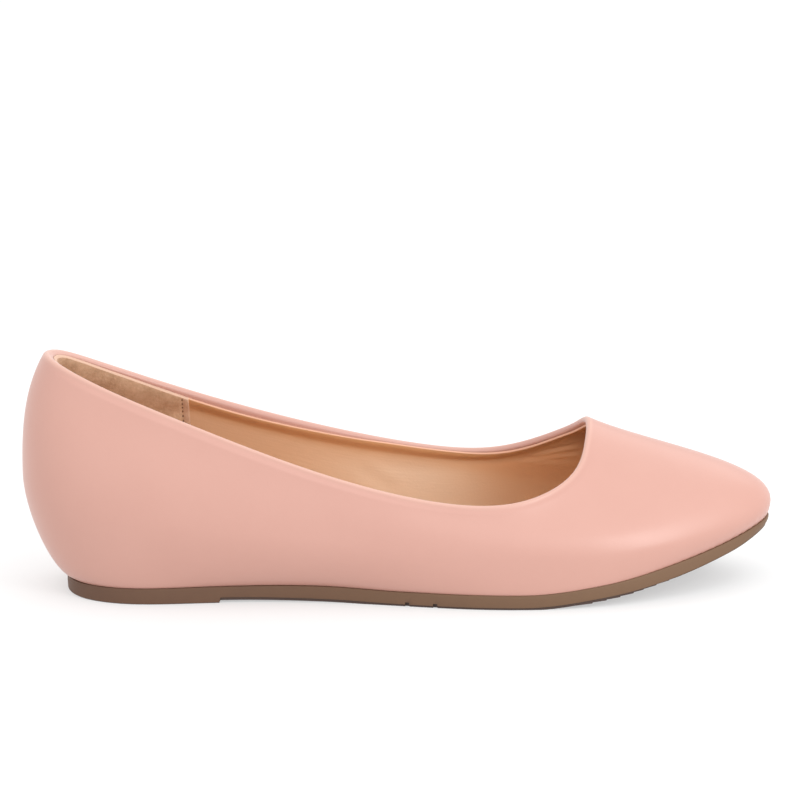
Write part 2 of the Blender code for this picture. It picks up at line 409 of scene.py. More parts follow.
def new_material(name):
    """An empty material, its tree and its shader."""
    material = bpy.data.materials.new(name)
    material.use_nodes = True
    tree = material.node_tree
    return material, tree, tree.nodes["Principled BSDF"]


def pattern(place, size, **others):
    """Inputs of a pattern whose features are this many millimetres across."""
    return {"Vector": place, "Scale": 1 / (size * MM), **others}


def where_marked(tree, colour, mark, code):
    """A colour that turns to another one as far as the piece carries a mark."""
    amount = add_node(tree, "ShaderNodeAttribute", attribute_name=mark)
    inputs = {"Factor": amount.outputs["Fac"], "A": colour, "B": linear(code)}
    return add_node(tree, "ShaderNodeMix", inputs, data_type="RGBA").outputs["Result"]


def finished(material, colour, relief, values):
    """The material with its colour, the fine relief of its surface and the shader's own values."""
    tree = material.node_tree
    bump = add_node(tree, "ShaderNodeBump", relief)
    inputs = {"Base Color": colour, "Normal": bump.outputs["Normal"], **values}
    set_inputs(tree, tree.nodes["Principled BSDF"], inputs)
    return material


def nappa():
    """Nappa, matt pigment finish: even, fine pebble, soft wide gloss, a painted highlight on the
    rim.
    """
    material, tree, _ = new_material("nappa leather, pigment finished")
    place = add_node(tree, "ShaderNodeTexCoord").outputs["Object"]
    clouds = pattern(place, 24.0, Detail=3.0, Roughness=0.55)
    cloud = add_node(tree, "ShaderNodeTexNoise", clouds)
    tone = add_node(tree, "ShaderNodeMix", {
        "Factor": cloud.outputs["Fac"], "A": linear("#BE8E81"), "B": linear("#C39487"),
    }, data_type="RGBA")
    pebbles = pattern(place, 0.9, Smoothness=0.6)
    pebble = add_node(tree, "ShaderNodeTexVoronoi", pebbles, feature="SMOOTH_F1")
    crease = add_node(tree, "ShaderNodeTexNoise", pattern(place, 0.5, Detail=2.0))
    grain = add_node(tree, "ShaderNodeMath", {
        0: crease.outputs["Fac"], 1: 0.5, 2: pebble.outputs["Distance"],
    }, operation="MULTIPLY_ADD")
    # The rim's crest and inner roll are paler: a painted highlight.
    colour = where_marked(tree, tone.outputs["Result"], "painted_highlight", "#D0A797")
    relief = {"Height": grain.outputs[0], "Strength": 0.25, "Distance": 0.05 * MM}
    return finished(material, colour, relief, {"Roughness": 0.34, "IOR": 1.55})


def lining_leather():
    """Pigskin lining, thin finish: warm tan with streaks that run round the shoe.

    It is paler on its cut edges. Painted light pales it below the fold, most at the waist, and
    beside the throat; painted shade darkens it along the fold and at the throat itself.
    """
    material, tree, _ = new_material("pigskin lining, thin finished")
    place = add_node(tree, "ShaderNodeTexCoord").outputs["UV"]
    lengthened = add_node(tree, "ShaderNodeMapping", {"Vector": place, "Scale": (1.0, 7.0, 1.0)})
    streaks = pattern(lengthened.outputs[0], 7.0, Detail=4.0)
    streak = add_node(tree, "ShaderNodeTexNoise", streaks)
    tone = add_node(tree, "ShaderNodeMix", {
        "Factor": streak.outputs["Fac"], "A": linear("#B88457"), "B": linear("#C9956A"),
    }, data_type="RGBA")
    # Paler below the fold and at the waist: a painted highlight, which leaves painted shade along
    # the fold.
    colour = where_marked(tree, tone.outputs["Result"], "painted_highlight", "#E2C5A9")
    # Lighter and warmer beside the throat: painted light.
    colour = where_marked(tree, colour, "painted_light", "#EABB90")
    # Brown at the throat itself: painted shade in its corner.
    colour = where_marked(tree, colour, "painted_shade", "#9E6A46")
    colour = where_marked(tree, colour, "raw_edge", "#D8A68A")
    pores = add_node(tree, "ShaderNodeTexNoise", pattern(place, 1.1, Detail=3.0, Roughness=0.6))
    depth = add_node(tree, "ShaderNodeMath", {
        0: streak.outputs["Fac"], 1: 1.5, 2: pores.outputs["Fac"],
    }, operation="MULTIPLY_ADD")
    relief = {"Height": depth.outputs[0], "Strength": 0.4, "Distance": 0.12 * MM}
    return finished(material, colour, relief, {"Roughness": 0.45, "IOR": 1.5})


def sock_leather():
    """Sheepskin sock over the insole, glazed: tan, fine pores, a soft gloss from wear underfoot."""
    material, tree, _ = new_material("sheepskin sock, glazed")
    place = add_node(tree, "ShaderNodeTexCoord").outputs["Object"]
    cloud = add_node(tree, "ShaderNodeTexNoise", pattern(place, 12.0, Detail=4.0))
    tone = add_node(tree, "ShaderNodeMix", {
        "Factor": cloud.outputs["Fac"], "A": linear("#CB9C77"), "B": linear("#DDB08A"),
    }, data_type="RGBA")
    pores = add_node(tree, "ShaderNodeTexVoronoi", pattern(place, 0.9))
    relief = {"Height": pores.outputs["Distance"], "Strength": 0.2, "Distance": 0.05 * MM}
    return finished(material, tone.outputs["Result"], relief, {"Roughness": 0.5, "IOR": 1.45})


def suede():
    """Brushed suede: mottled where the nap lies both ways, no gloss, pale where it is cut."""
    material, tree, _ = new_material("suede, brushed")
    place = add_node(tree, "ShaderNodeTexCoord").outputs["Object"]
    nap = add_node(tree, "ShaderNodeTexNoise", pattern(place, 6.0, Detail=6.0, Roughness=0.78))
    spread = add_node(tree, "ShaderNodeMapRange", {
        "Value": nap.outputs["Fac"], "From Min": 0.3, "From Max": 0.68,
    })
    tone = add_node(tree, "ShaderNodeMix", {
        "Factor": spread.outputs[0], "A": linear("#B18B6B"), "B": linear("#DAB899"),
    }, data_type="RGBA")
    fibre = add_node(tree, "ShaderNodeTexNoise", pattern(place, 0.9, Detail=3.0))
    colour = where_marked(tree, tone.outputs["Result"], "raw_edge", "#CCA790")
    relief = {"Height": fibre.outputs["Fac"], "Strength": 0.8, "Distance": 0.25 * MM}
    values = {"Roughness": 0.95, "Sheen Weight": 0.15, "Sheen Roughness": 0.5}
    return finished(material, colour, relief, values)


def sewing_thread():
    """Bonded nylon sewing thread, brown: smooth filaments with a little lustre."""
    material, tree, shader = new_material("bonded nylon thread")
    set_inputs(tree, shader, {"Base Color": linear("#6B4A34"), "Roughness": 0.5, "IOR": 1.53})
    return material


def sole_rubber():
    """Thermoplastic rubber, moulded: taupe, dull, clouded from the flow, painted shade on the
    walking layer.

    The colour runs from a darker, redder brown at the heel to a paler one at the toe.
    """
    material, tree, _ = new_material("thermoplastic rubber, moulded")
    place = add_node(tree, "ShaderNodeTexCoord").outputs["Object"]
    cloud = add_node(tree, "ShaderNodeTexNoise", pattern(place, 5.0, Detail=4.0))
    length = add_node(tree, "ShaderNodeSeparateXYZ", {"Vector": place})
    fade = add_node(tree, "ShaderNodeMapRange", {
        "Value": length.outputs["X"], "From Min": -100 * MM, "From Max": 110 * MM,
    })
    share = add_node(tree, "ShaderNodeMath", {
        0: cloud.outputs["Fac"], 1: 0.3, 2: fade.outputs["Result"],
    }, operation="MULTIPLY_ADD")
    tone = add_node(tree, "ShaderNodeMix", {
        "Factor": share.outputs[0], "A": linear("#5B3F2F"), "B": linear("#6F533C"),
    }, data_type="RGBA")
    skin = add_node(tree, "ShaderNodeTexNoise", pattern(place, 0.4, Detail=2.0))
    # The walking layer, underside and ribs are darker: painted shade under the sole.
    colour = where_marked(tree, tone.outputs["Result"], "painted_shade_layer", "#45332C")
    relief = {"Height": skin.outputs["Fac"], "Strength": 0.2, "Distance": 0.04 * MM}
    return finished(material, colour, relief, {"Roughness": 0.6, "IOR": 1.45})


def wedge_foam():
    """Expanded EVA foam, cut from sheet: closed cells a little under a millimetre, no gloss."""
    material, tree, shader = new_material("EVA foam, cut")
    place = add_node(tree, "ShaderNodeTexCoord").outputs["Object"]
    cells = add_node(tree, "ShaderNodeTexVoronoi", pattern(place, 0.8))
    tone = add_node(tree, "ShaderNodeMix", {
        "Factor": cells.outputs["Distance"], "A": linear("#C9B79E"), "B": linear("#DCCDB6"),
    }, data_type="RGBA")
    set_inputs(tree, shader, {"Base Color": tone.outputs["Result"], "Roughness": 0.85})
    return material


# The upper: one skin of leather, folded in over a tape at the topline

LEATHER = 1.1  # thickness
RIM_RADIUS = 1.05  # of the folded rim's outer side
RIM_WIDTH = 1.7  # of the flatter roll on its inner side
HEEL_RIM = 0.45  # more than those at the back of the heel, where the collar is padded
TAPE = 3.9  # drop to the lower edge of the tape under the rim
RIM_LEAN = 0.75  # how far the face leans in over the tape
LEAN_FADE = 0.55  # share of that which is gone beside the waist
LEAN_END = (6.6, 5.2)  # stations from the back where it runs out, lateral and medial
ROLL = (0.35, 0.6)  # drop of the rim's inner roll, and the share of the lining's drop added to it
RIM_HIGHLIGHT = 0.72  # strength of the highlight painted on the rim's crest and inner roll
HIGHLIGHT_GONE_IN_SHADE = 0.9  # share of that which is gone at the inner side of the throat, which lies in shade
RIM_GROOVE = 0.032  # depth of the groove under the rim's bead, which fades towards the throat
RIM_GROOVE_WIDTH = 0.35
SEAM = 0.3  # half the width of the seam down the back of the heel
SEAM_DEPTH = 0.22
PLEAT = 3.4  # from one lasting pleat to the next, round the toe
PLEAT_DEPTH = 0.07
PLEAT_HEIGHT = 9.0  # how far up from the feather line they show
PLEAT_START = (205.0, 235.0)  # x over which they set in
PLEAT_SWAY = 1.7  # radians that they stray from an even pitch
SWAY_LENGTH = 11.0
# Rows of the skin's mesh below the rim, closer towards it.
RIM_ROWS = (6.0, 5.2, 4.6, 4.1, 3.7, 3.3, 2.9, 2.5, 2.1, 1.8, 1.5, 1.2, 0.9, 0.65, 0.45, 0.3, 0.15)


def from_back(stations):
    """Stations to the back of the heel, the shorter way round."""
    return np.minimum(stations, ROUND - stations)


def scale_along(path, start, end):
    """Millimetres to a station along a line of the last, between two stations."""
    ends = path(np.array([start, end]))
    return np.linalg.norm(ends[1] - ends[0]) / (end - start)


def heel_pad(stations):
    """How much thicker the rim is where the collar is padded."""
    return HEEL_RIM * (1 - smooth(0.6, 2.4, from_back(stations)))


def rim_radius(stations):
    return RIM_RADIUS + heel_pad(stations)


def rim_lean(stations, drop):
    """Inset of the outer face near the topline: most at the sides, none at the back and throat."""
    radius = rim_radius(stations)
    away = from_back(stations)
    throat = np.where(stations < ROUND / 2, *LEAN_END)
    lean = RIM_LEAN * between(0.6, 2.0, throat, throat + 1.8, away)
    lean = lean * (1 - LEAN_FADE * smooth(3.8, 5.4, away))
    lean = lean * (1 - smooth(radius + 0.5, TAPE, drop))
    groove = RIM_GROOVE * (1 - 0.8 * smooth(3.4, 5.0, away))
    return lean + groove * bell(drop - radius - 0.25, RIM_GROOVE_WIDTH)


def seam_inset(stations, drop):
    """Inset of the closed seam at the back, where the two ends of the skin meet."""
    away = from_back(stations) * scale_along(widest_line, 0.0, 0.05)
    return SEAM_DEPTH * bell(away, SEAM) * smooth(1.5, 4.0, drop)


def lengths_along(path):
    """The way along a line of points to each of them."""
    steps = np.linalg.norm(np.diff(path, axis=0), axis=1)
    return np.concatenate([[0.0], np.cumsum(steps)])


def pleat_inset(face, drop):
    """Faint waves that lasting leaves round the toe, just over the sole."""
    ring = feather_line(face.stations)
    along = lengths_along(ring[:, :2])
    ahead = smooth(*PLEAT_START, ring[:, 0])
    low = 1 - smooth(0.0, PLEAT_HEIGHT, face.height - drop)
    wave = np.sin(2 * math.pi * along / PLEAT + PLEAT_SWAY * np.sin(along / SWAY_LENGTH))
    return PLEAT_DEPTH * ahead * low * (1 + wave)


def upper_section(face):
    """Drops and insets of the folded skin: up the outside, over the rim and down the inside."""
    stations = face.stations
    radius = rim_radius(stations)
    width = RIM_WIDTH + heel_pad(stations)
    roll = ROLL[0] + ROLL[1] * lining_start(stations)
    rows = []
    below = radius + RIM_ROWS[0]
    for share in np.linspace(1.0, 0.0, 40)[:-1]:
        drop = below + share * (face.height - below)
        rows.append((drop, seam_inset(stations, drop) + pleat_inset(face, drop)))
    for more in RIM_ROWS:
        drop = radius + more
        rows.append((drop, seam_inset(stations, drop) + rim_lean(stations, drop)))
    start = rim_lean(stations, radius)
    for angle in np.linspace(0.0, math.pi / 2, 8):
        rows.append((radius * (1 - math.sin(angle)), start + radius * (1 - math.cos(angle))))
    for angle in np.linspace(0.0, math.pi / 2, 9)[1:]:
        rows.append((roll * (1 - math.cos(angle)), start + radius + width * math.sin(angle)))
    within = start + radius + width
    turned_in = lining_bend(stations) - 0.5 * lining_top(stations, "softness")
    turned_in = np.maximum(turned_in, roll + 0.6)
    rows.append(((roll + turned_in) / 2, within))
    rows.append((turned_in, within))
    for share in np.linspace(0.0, 1.0, 14)[1:]:
        drop = turned_in + 0.5 + share * (face.height - turned_in - 0.5)
        rows.append((drop, 0 * drop + LEATHER))
    return np.array(rows).swapaxes(0, 1)


def rim_highlight(stations, drops, insets):
    """The painted highlight where the skin folds over the rim, outside its crest and inside it."""
    radius = rim_radius(stations)
    over = (insets - rim_lean(stations, radius)) / radius
    outside = smooth(-0.6, 0.5, over) * (1 - smooth(0.8, 2.4, drops))
    inside = (1 - 0.7 * smooth(0.9, 1.5, over)) * (1 - smooth(0.2, 1.3, drops))
    # No painted highlight at the inner side of the throat, which lies in shade.
    inner_throat = between(9.3, 10.0, 11.2, 12.4, stations)
    return RIM_HIGHLIGHT * np.where(over < 0.5, outside, inside) * (1 - HIGHLIGHT_GONE_IN_SHADE * inner_throat)


def make_upper(material):
    beside_seam = np.array([0.008, 0.016, 0.024, 0.034])
    face = Face(np.sort(np.concatenate([STATIONS, beside_seam, ROUND - beside_seam])))
    drops, insets = upper_section(face)
    points = face.at(drops, insets).reshape(-1, 3)
    faces = rings_faces(*drops.shape, True, True)
    # Painted highlight along the rim's crest and inner roll.
    marks = {"painted_highlight": rim_highlight(face.stations, drops, insets)}
    obj = add_piece("upper_leather", points, faces, material, marks=marks)
    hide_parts("upper")


# The lining and the heel grip, inside the upper

LINING_FACE = 2.3  # inset of the lining's face low down
LINING_EDGE = 0.7  # thickness at the cut edge
LINING_LAYER = 1.0  # thickness of lining and glue low down
EDGE_ROUND = 0.4  # how far in from its cut edge a layer is rounded off
EDGE_BAND = 0.4  # height of the raw edge, which is paler than the face
EDGE_LEAST = 0.02  # share of a layer's thickness that is left at the very edge
CLOSE_ROWS = 14.0  # how far down from a cut edge the rows of its mesh are close
UNDER_GRIP = 1.2  # how much lower the lining is cut under the grip
PARED = 0.4  # how much thinner it is there
LINING_FOOT = 0.5  # how far over the feather line the lining ends
GRIP_FOOT = 1.0
# The lining's cut edge below the topline, and below that edge the bend where the lining comes off
# the turned-in leather, with half the height of that bend.
LINING_TOP = table(
    "x  drop  bend  softness",
    (9.0, 0.4, 8.0, 7.0),  # back
    (22.0, 1.0, 8.0, 7.0),
    (41.0, 1.6, 7.0, 6.0),
    (52.0, 2.0, 5.0, 4.4),
    (62.0, 2.4, 2.9, 2.4),
    (78.0, 2.7, 2.8, 2.3),
    (114.0, 2.0, 2.9, 2.3),
    (134.0, 1.1, 3.2, 2.3),
    (151.0, 0.9, 3.4, 2.3),
    (164.0, 1.1, 3.0, 2.1),
    (178.0, 1.3, 2.1, 1.7),
    (190.0, 1.2, 1.7, 1.5),
    (198.5, 1.7, 1.5, 1.3),  # throat
)
# Creases of the lining's inner side in side view: three beside the throat and one at the waist.
CREASES = table(
    "x_from  z_from  x_to  z_to  width  depth",
    (179.0, 37.5, 198.0, 43.5, 0.9, 0.30),
    (176.0, 35.5, 200.0, 40.5, 1.0, 0.34),
    (180.0, 35.5, 200.0, 36.8, 1.1, 0.26),
    (117.0, 34.0, 132.0, 24.0, 2.2, 0.25),
)
GRIP_FRONT = 2.88  # stations from the back to the front edge of the heel grip
GRIP_LAYER = 0.75
GRIP_SEAM = 2.5  # from the grip's front edge back to its row of stitches
GRIP_DIP = 0.3  # how deep the stitches pull it in
GRIP_DIP_WIDTH = 0.7
GRIP_STRIP_RAW = 0.5  # how rubbed the strip in front of the stitches is
# Columns of the grip's mesh in from its front edge, in 32nds of a station, about a millimetre each.
GRIP_COLUMNS = (0.0, 0.02, 0.07, 0.15, 0.25, 0.4, 0.6, 0.9, 1.3, 1.8, 2.2, 2.5, 2.8, 3.2, 3.7)
UNSEWN = (1.2, 1.5)  # left above the row of stitches, and below it
STITCH = 1.95  # from one stitch to the next
STITCH_LENGTH = 1.05
THREAD = 0.6  # diameter of the thread


def lining_top(stations, column):
    return eased(LINING_TOP["x"], LINING_TOP[column])(topline(stations)[:, 0])


def lining_start(stations):
    """Drop of the lining's cut edge."""
    return lining_top(stations, "drop")


def lining_bend(stations):
    """Drop at which the lining comes off the turned-in leather."""
    return lining_start(stations) + lining_top(stations, "bend")


def turned_in_face(stations):
    """Inset of the turned-in leather, which the lining's edge is sewn to."""
    radius = rim_radius(stations)
    return rim_lean(stations, radius) + radius + RIM_WIDTH + heel_pad(stations) + 0.05


def crease_inset(face, drop):
    """How far soft troughs, each with a low swell beside it, set the lining's face back."""
    points = face.on(drop)
    inner_side = smooth(-2.0, 6.0, points[:, :, 1])
    side = points[:, :, (0, 2)]
    depth = np.zeros(drop.shape)
    for x_from, z_from, x_to, z_to, width, deep in zip(*CREASES.values()):
        start = np.array([x_from, z_from])
        run = np.array([x_to, z_to]) - start
        along = (side - start) @ run / (run @ run)
        away = np.linalg.norm(side - start - along[:, :, None] * run, axis=2)
        trough = bell(away, width) - 0.6 * bell(away - 1.9 * width, width)
        depth += deep * trough * between(-0.05, 0.3, 0.85, 1.1, along)
    return depth * inner_side


def lining_faces(face, drop):
    """Insets of the lining's back and face."""
    stations = face.stations % ROUND
    bend = lining_bend(stations)
    softness = lining_top(stations, "softness")
    strip = 1 - smooth(bend - softness, bend + softness, drop)
    edge = turned_in_face(stations) + LINING_EDGE
    front = LINING_FACE + (edge - LINING_FACE) * strip
    thick = LINING_LAYER + (LINING_EDGE - LINING_LAYER) * strip
    return front - thick, front - crease_inset(face, drop)


def edge_share(*distances):
    """Share of a layer's thickness at these distances from its cut edges."""
    share = 1.0
    for distance in distances:
        t = np.clip(distance / EDGE_ROUND, 0.0, 1.0)
        share = share * np.sqrt(1 - (1 - t) ** 2)
    return EDGE_LEAST + (1 - EDGE_LEAST) * share


def layer_rows(height, first):
    """Drops from the bottom of a layer up to its cut edge."""
    near = first + CLOSE_ROWS
    rows = [near + share * (height - near) for share in np.linspace(1.0, 0.0, 18)[:-1]]
    rows += [first + step for step in np.linspace(CLOSE_ROWS, 0.8, 34)]
    rows += [first + step for step in (0.6, 0.45, 0.32, 0.2, 0.1, 0.04, 0.0)]
    return np.array(rows)


def raw_edge(distance):
    """1 on a cut edge, 0 on the face."""
    return 1 - smooth(0.6 * EDGE_BAND, 1.2 * EDGE_BAND, distance)


def lining_marks(drops, first):
    """How far the lining is cut, and where light and shade are painted on it, each from 0 to 1.

    A painted highlight pales it below the fold, most of all at the waist, and leaves painted shade
    along the fold. Painted light lightens it beside the throat, and painted shade darkens it at the
    throat itself.
    """
    away = from_back(OUTER.stations)
    low = drops - lining_start(OUTER.stations)
    waist = between(3.5, 4.8, 5.1, 6.2, away)
    return {
        "raw_edge": raw_edge(drops - first),
        # Painted highlight below the fold and at the waist; the fold is left as painted shade.
        "painted_highlight": 0.4 * smooth(3.0, 8.0, low) + 0.5 * waist * smooth(6.0, 15.0, low),
        # Painted light beside the throat.
        "painted_light": between(4.7, 5.9, 6.7, 7.8, away) * smooth(3.0, 9.0, low),
        # Painted shade in the throat's corner.
        "painted_shade": smooth(6.4, 7.7, away) * smooth(1.5, 4.5, low),
    }


def make_lining(material):
    under_grip = 1 - smooth(GRIP_FRONT - 0.25, GRIP_FRONT - 0.1, from_back(OUTER.stations))
    first = lining_start(OUTER.stations) + UNDER_GRIP * under_grip
    drops = layer_rows(OUTER.height - LINING_FOOT, first)
    behind, front = lining_faces(OUTER, drops)
    thick = front - PARED * under_grip - behind
    front = behind + thick * edge_share(drops - first)
    points, faces = slab(OUTER.at(drops, behind), OUTER.at(drops, front), True)
    round_shoe = np.broadcast_to(lengths_along(widest_line(OUTER.stations)), drops.shape)
    uv = np.stack([round_shoe, drops], 2)
    uv = there_and_back(uv, uv).reshape(-1, 2)
    marks = lining_marks(drops, first)
    marks = {key: there_and_back(mark, mark) for key, mark in marks.items()}
    add_piece("lining", points, faces, material, uv, marks)


def grip_front_scale():
    return scale_along(topline, GRIP_FRONT - 0.1, GRIP_FRONT)


def grip_faces(face, drops):
    """Insets of the grip's back and face, and how raw its surface is."""
    away = np.abs(face.stations)
    start = lining_start(face.stations % ROUND)
    behind, under = lining_faces(face, drops)
    top = behind + 0.05
    back = top + (under + 0.03 - top) * smooth(0.7, 1.6, drops - start)
    thick = under + GRIP_LAYER - back
    from_front = (GRIP_FRONT - away) * grip_front_scale()
    sewn = GRIP_DIP * bell(from_front - GRIP_SEAM, GRIP_DIP_WIDTH)
    sewn = sewn * smooth(0.0, 1.5, drops - start)
    strip = GRIP_STRIP_RAW * (1 - smooth(GRIP_SEAM - 0.6, GRIP_SEAM, from_front))
    raw = np.maximum(raw_edge(drops - start), strip)
    return back, back + (thick - sewn) * edge_share(drops - start, from_front), raw


def make_grip(material):
    middle = np.linspace(-GRIP_FRONT + 0.15, GRIP_FRONT - 0.15, 150)
    edge = GRIP_FRONT - np.array(GRIP_COLUMNS) / 32
    stations = np.concatenate([-edge, middle, edge[::-1]])
    face = Face(stations, closed=False)
    first = lining_start(stations % ROUND)
    drops = layer_rows(face.height - GRIP_FOOT, first)
    back, front, raw = grip_faces(face, drops)
    points, faces = slab(face.at(drops, back), face.at(drops, front), False)
    marks = {"raw_edge": there_and_back(raw, raw)}
    add_piece("heel_grip", points, faces, material, marks=marks)


# Pieces that repeat along a line


def new_tree(name, *sizes):
    """An empty tree that takes a mesh, some named sizes and a material, and its inputs."""
    tree = bpy.data.node_groups.new(name, "GeometryNodeTree")
    sockets = [("Geometry", "INPUT", "Geometry"), *((size, "INPUT", "Float") for size in sizes)]
    sockets += [("Material", "INPUT", "Material"), ("Geometry", "OUTPUT", "Geometry")]
    for socket, way, kind in sockets:
        tree.interface.new_socket(socket, in_out=way, socket_type="NodeSocket" + kind)
    return tree, add_node(tree, "NodeGroupInput").outputs


def end_tree(tree, given, made):
    """Real geometry in the piece's material, as the tree's result."""
    real = add_node(tree, "GeometryNodeRealizeInstances", {"Geometry": made})
    inputs = {"Geometry": real.outputs[0], "Material": given["Material"]}
    finished = add_node(tree, "GeometryNodeSetMaterial", inputs)
    add_node(tree, "NodeGroupOutput", {"Geometry": finished.outputs[0]})
    return tree


def stitches_tree():
    """Stitches laid along the lines of a mesh, at an even pitch."""
    tree, given = new_tree("stitches", "Pitch", "Length", "Thread")
    lines = add_node(tree, "GeometryNodeMeshToCurve", {"Mesh": given["Geometry"]})
    steps = add_node(tree, "GeometryNodeResampleCurve", {
        "Curve": lines.outputs[0], "Length": given["Pitch"],
    }, mode="LENGTH")
    half, thick = (
        add_node(tree, "ShaderNodeMath", {0: given[size], 1: 0.5}, operation="MULTIPLY").outputs[0]
        for size in ("Length", "Thread")
    )
    size = add_node(tree, "ShaderNodeCombineXYZ", {"X": thick, "Y": thick, "Z": half})
    ball = add_node(tree, "GeometryNodeMeshUVSphere", {"Segments": 8, "Rings": 6, "Radius": 1.0})
    tangent = add_node(tree, "GeometryNodeInputTangent")
    turn = add_node(
        tree, "FunctionNodeAlignRotationToVector", {"Vector": tangent.outputs[0]}, axis="Z"
    )
    row = add_node(tree, "GeometryNodeInstanceOnPoints", {
        "Points": steps.outputs[0],
        "Instance": ball.outputs["Mesh"],
        "Rotation": turn.outputs[0],
        "Scale": size.outputs[0],
    })
    return end_tree(tree, given, row.outputs[0])


def ribs_tree():
    """Straight ribs along the lines of a mesh, flat underneath and narrower there."""
    tree, given = new_tree("ribs", "Foot", "Crest", "Height")
    lines = add_node(tree, "GeometryNodeMeshToCurve", {"Mesh": given["Geometry"]})
    upright = add_node(tree, "GeometryNodeSetCurveNormal", {"Curve": lines.outputs[0]}, mode="Z_UP")
    section = add_node(tree, "GeometryNodeCurvePrimitiveQuadrilateral", {
        "Height": given["Height"],
        "Bottom Width": given["Foot"],
        "Top Width": given["Crest"],
        "Offset": 0.0,
    }, mode="TRAPEZOID")
    bars = add_node(tree, "GeometryNodeCurveToMesh", {
        "Curve": upright.outputs[0], "Profile Curve": section.outputs[0], "Fill Caps": True,
    })
    return end_tree(tree, given, bars.outputs[0])


def repeat_along(lines, name, tree, material, **sizes):
    """The plain mesh that a tree makes along some lines. Lines and sizes are in millimetres."""
    rough = bpy.data.meshes.new(name)
    edges = []
    start = 0
    for points in lines:
        edges += [(start + i, start + i + 1) for i in range(len(points) - 1)]
        start += len(points)
    rough.from_pydata((np.concatenate(lines) - CENTRE) * MM, edges, [])
    obj = new_object(name, rough)
    modifier = obj.modifiers.new(name, "NODES")
    modifier.node_group = tree
    for socket in tree.interface.items_tree:
        if socket.name in sizes:
            modifier[socket.identifier] = sizes[socket.name] * MM
        elif socket.name == "Material":
            modifier[socket.identifier] = material
    bpy.context.view_layer.update()
    depsgraph = bpy.context.evaluated_depsgraph_get()
    mesh = bpy.data.meshes.new_from_object(obj.evaluated_get(depsgraph))
    obj.modifiers.remove(modifier)
    obj.data = mesh
    bpy.data.meshes.remove(rough)
    return obj


def footbed_drop(face, inset=2.5):
    """Drop at which a surface this far in meets the footbed."""
    drops = np.linspace(0.05, 1.0, 300)[:, None] * face.height
    inside = face.at(drops, np.full(drops.shape, inset))
    over = inside[:, :, 2] - footbed(inside[:, :, 0])
    below = np.argmax(over < 0, axis=0)
    each = np.arange(len(below))
    a = over[below - 1, each]
    share = a / (a - over[below, each])
    return (1 - share) * drops[below - 1, each] + share * drops[below, each]


def make_stitches(material):
    lines = []
    for side in (-1, 1):
        station = side * (GRIP_FRONT - GRIP_SEAM / grip_front_scale())
        face = Face(np.array([station - 0.02, station, station + 0.02]), closed=False)
        start = lining_start(face.stations % ROUND)
        first = start + UNSEWN[0]
        last = footbed_drop(face) - UNSEWN[1]
        drops = first + np.linspace(0.0, 1.0, 120)[:, None] * (last - first)
        _, front, _ = grip_faces(face, drops)
        lines.append(face.at(drops, front - 0.05)[:, 1])
    sizes = {"Pitch": STITCH, "Length": STITCH_LENGTH, "Thread": THREAD}
    obj = repeat_along(lines, "grip_stitches", stitches_tree(), material, **sizes)
    finish_piece(obj)


# The insole's cover, cut to the room inside the lining

SOCK_MARGIN = 0.15  # left between it and the lining
SOCK_DEPTH = 2.6  # of sock and footbed together
SOCK_TURN_UP = 0.8  # how far its edge rises against the lining
TURN_UP_WIDTH = 5.0  # of the band along it that rises


def two_sides(loop):
    """The lateral and the medial half of a closed line, each from the back to the tip."""
    half = len(loop) // 2
    return loop[: half + 1], np.concatenate([loop[:1], loop[: half - 1 : -1]])


def make_insole(material):
    inset = LINING_FACE + SOCK_MARGIN
    drops = footbed_drop(OUTER, inset)[None, :]
    lateral, medial = two_sides(OUTER.at(drops, np.full(drops.shape, inset))[0])
    shares = 0.5 - 0.5 * np.cos(np.linspace(0.0, math.pi, 33))
    top = lateral[None] + shares[:, None, None] * (medial - lateral)[None]
    top[:, :, 2] = footbed(top[:, :, 0])
    width = np.linalg.norm(medial - lateral, axis=1)[None, :]
    from_edge = np.minimum(shares[:, None], 1 - shares[:, None]) * width
    turned_up = (1 - smooth(0.0, TURN_UP_WIDTH, from_edge)) * smooth(0.0, 12.0, width)
    top[:, :, 2] += SOCK_TURN_UP * turned_up
    bottom = top.copy()
    bottom[:, :, 2] = footbed(top[:, :, 0]) - SOCK_DEPTH
    # Its rows run across the shoe and not up it, so the grid that comes first faces up.
    points, faces = slab(top, bottom, False)
    obj = add_piece("insole_sock", points, faces, material)
    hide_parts("insole")


# The outsole, moulded in one with its heel pad

LIP_ROUND = 0.3
UPPER_ROUND = 0.3
UNDER_UPPER = 4.0  # how far the sole reaches in under the upper
ROOF_RISE = 0.25  # the sole is pressed up against the leather
SIDE_BULGE = 0.1  # how far the side is rounded out between lip and roof
LAYER_ROUND = 0.15
TUCK = 1.0  # how far the side is drawn in at its foot round the toe's tip
TUCK_START = (248.0, 262.0)  # x over which that sets in
STEP = 0.04  # length that a step in the sole's underside takes
# The side stands out as a lip over the walking layer, which is thinner under the heel pad, hangs a
# little lower than the arch and runs out under the toe spring.
LAYER_INSET = 0.5
LAYER_HEIGHT = 0.75
PAD_LAYER = 0.25
LAYER_SAG = 0.25
LAYER_END = (192.0, 234.0)  # x over which it runs out
GROOVES = (132.5, 142.0)  # flex grooves across the sole
GROOVE_WIDTH = 1.4
GROOVE_DEPTH = 1.5
NOTCH = 1.2  # how far the end of a flex groove reaches in from the side
DAM = 0.8  # of sole left between that end and the groove across
FIELDS = ((19.0, 63.0), (152.0, 184.0))  # hollowed fields of the underside, from heel to toe
FIELD_DEPTH = 0.8
BORDER = 4.5  # of plain sole round a field
RIB_PITCH = 4.0
RIB_FOOT = 1.9
RIB_CREST = 1.3
RIB_SET_BACK = 0.05  # of its crest from the walking face
RIB_ROOT = 0.15  # how deep it stands in the sole
RIB_END = 1.0  # of it that stands in the border on each side
